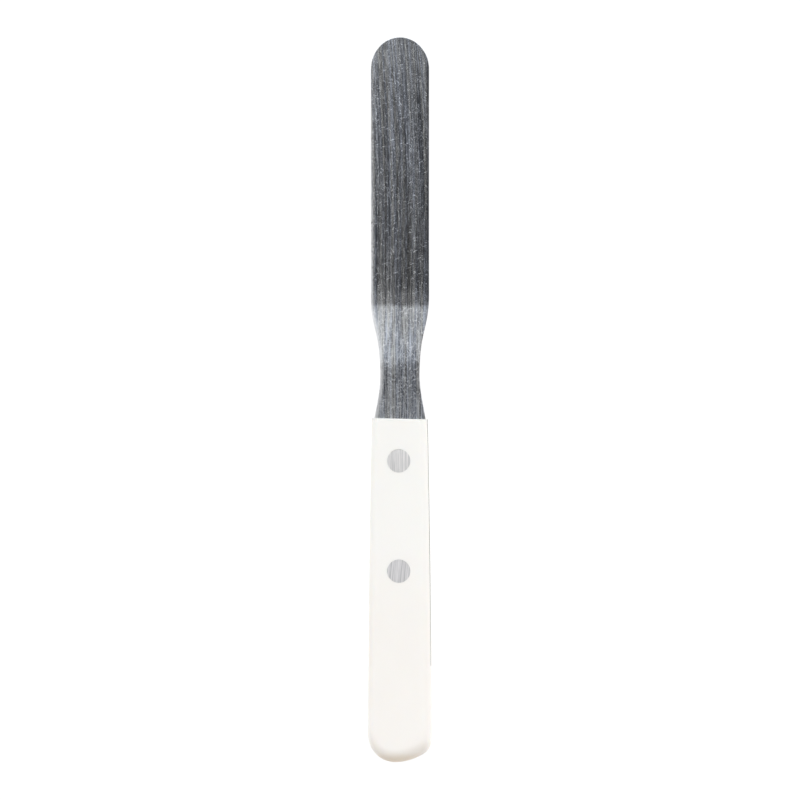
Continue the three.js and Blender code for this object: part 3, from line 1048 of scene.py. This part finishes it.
def nicks(n, point, behind):
    """Sparse bright pits, more of them behind the crease."""
    spaced = n.stretched(point, STEEL_NICKS)
    cells = n.add("ShaderNodeTexVoronoi", {"Vector": spaced, "Scale": 1.0})
    near = n.ramp(cells.outputs["Distance"], 0.34, 0.16)
    pick = n.add("ShaderNodeSeparateXYZ", {0: cells.outputs["Color"]}).outputs[0]
    chosen = n.math("GREATER_THAN", n.math("ADD", pick, n.math("MULTIPLY", behind, 0.11)), 0.93)
    return n.math("MULTIPLY", n.math("MULTIPLY", near, chosen), n.ramp(behind, 0.0, 1.0, 0.3, 0.45))


def scratches(n, point, behind):
    """Short handling scratches at several slants, more of them behind the crease."""
    total = None
    more = n.math("MULTIPLY", behind, 0.05)
    for i, degrees in enumerate(SCRATCH_SLANTS):
        turned = n.turned(point, math.radians(degrees))
        lines = n.noise(turned, STEEL_SCRATCHES, (i * 3, i * 5, i), detail=0.0)
        line = n.ramp(n.math("ADD", lines, more), 0.73, 0.84)
        total = line if total is None else n.math("MAXIMUM", total, line)
    return n.math("MULTIPLY", total, n.ramp(behind, 0.0, 1.0, 0.25, 0.42))


def handle_plastic():
    """Dense off-white plastic with a low gloss, faint clouding and fine handling marks."""
    material, n, shader = new_material("handle_plastic")
    point, axes = place_on_piece(n)
    back = n.math("SUBTRACT", FRONT_Y, axes[1])
    cloud = n.ramp(n.noise(point, PLASTIC_CLOUDS, detail=3.0), 0.3, 0.7)
    grain = n.noise(point, PLASTIC_GRAIN)
    marks = n.noise(point, PLASTIC_MARKS, (2, 2, 2))
    color = n.mix(cloud, *OFF_WHITE)
    # Hands have turned the rear a little warmer.
    color = n.mix(n.ramp(back, 25 * MM, 75 * MM, smooth=True), color, HANDLED_TINT, "MULTIPLY")
    # Painted shade: the butt's rounded end is made warmer and darker, as it turns away from the light.
    end = n.ramp(back, HANDLE_LENGTH - 3.2 * MM, HANDLE_LENGTH - 0.2 * MM)
    color = n.mix(end, color, BUTT_PAINTED_SHADE, "MULTIPLY")
    # Painted shade darkens the front end, next to the dark blade.
    color = n.mix(n.ramp(back, 0.7 * MM, 0.1 * MM), color, FRONT_END_PAINTED_SHADE, "MULTIPLY")
    # Painted shade darkens the walls of the slot, where the tang goes in.
    color = n.mix(slot_painted_shade(n, axes, back), color, SLOT_PAINTED_SHADE)
    worn = n.math("MULTIPLY", n.ramp(marks, 0.4, 0.7), 0.06)
    height = weighted(n, (grain, 0.5), (marks, 0.5))
    n.fill(shader, {
        "Base Color": color,
        "Roughness": n.math("ADD", n.ramp(cloud, 0.0, 1.0, 0.36, 0.44), worn),
        "Normal": relief(n, height, 0.12, 0.02 * MM),
        "IOR": PLASTIC_IOR,
        "Subsurface Weight": SUBSURFACE_WEIGHT,
        "Subsurface Radius": SUBSURFACE_RADIUS,
        "Subsurface Scale": SUBSURFACE_SCALE,
    })
    return material


def slot_painted_shade(n, axes, back):
    """How much painted shade darkens the walls of the slot: most of all half way along it."""
    from_middle = n.math("ABSOLUTE", n.math("SUBTRACT", axes[2], MID_Z))
    low_enough = n.math("LESS_THAN", from_middle, STOCK_THICKNESS / 2 + SLOT_LIP)
    near_enough = n.math("LESS_THAN", back, SLOT_LENGTH)
    in_slot = n.math("MULTIPLY", low_enough, near_enough)
    from_worst = n.math("ABSOLUTE", n.math("SUBTRACT", back, SLOT_SHADE_DARKEST_AT))
    return n.math("MULTIPLY", in_slot, n.ramp(from_worst, 0.0, 25 * MM, 0.95, 0.7))


def rivet_metal():
    """Soft light metal, linished with the handle: coarse lengthwise scratches. The rear rivet is
    a little darker, and its scratches run a little aslant."""
    material, n, shader = new_material("rivet_metal")
    point, axes = place_on_piece(n)
    rear = n.math("LESS_THAN", axes[1], sum(RIVET_YS) / 2)
    turned = n.turned(point, n.math("MULTIPLY", rear, REAR_RIVET_TURN))
    coarse = n.ramp(n.noise(turned, RIVET_COARSE_LINES, roughness=0.6), 0.38, 0.62)
    fine = n.ramp(n.noise(turned, RIVET_FINE_LINES, (1, 4, 2)), 0.3, 0.7)
    tone = weighted(n, (coarse, 0.8), (fine, 0.2))
    color = n.mix(tone, *RIVET_COLORS)
    n.fill(shader, {
        "Base Color": n.mix(rear, color, REAR_RIVET_TINT, "MULTIPLY"),
        "Roughness": n.ramp(tone, 0.0, 1.0, 0.46, 0.58),
        "Normal": relief(n, tone, 0.4, 0.03 * MM),
        "Tangent": brushed_along(n),
        "Metallic": 1.0,
        "Anisotropic": 0.6,
    })
    return material


# ---- The scene ----------------------------------------------------------------------------------

bpy.context.scene.view_settings.view_transform = "Standard"
make_camera()
make_floor()
make_sky()
make_blade(blade_steel())
make_handle(handle_plastic())
make_rivets(rivet_metal())
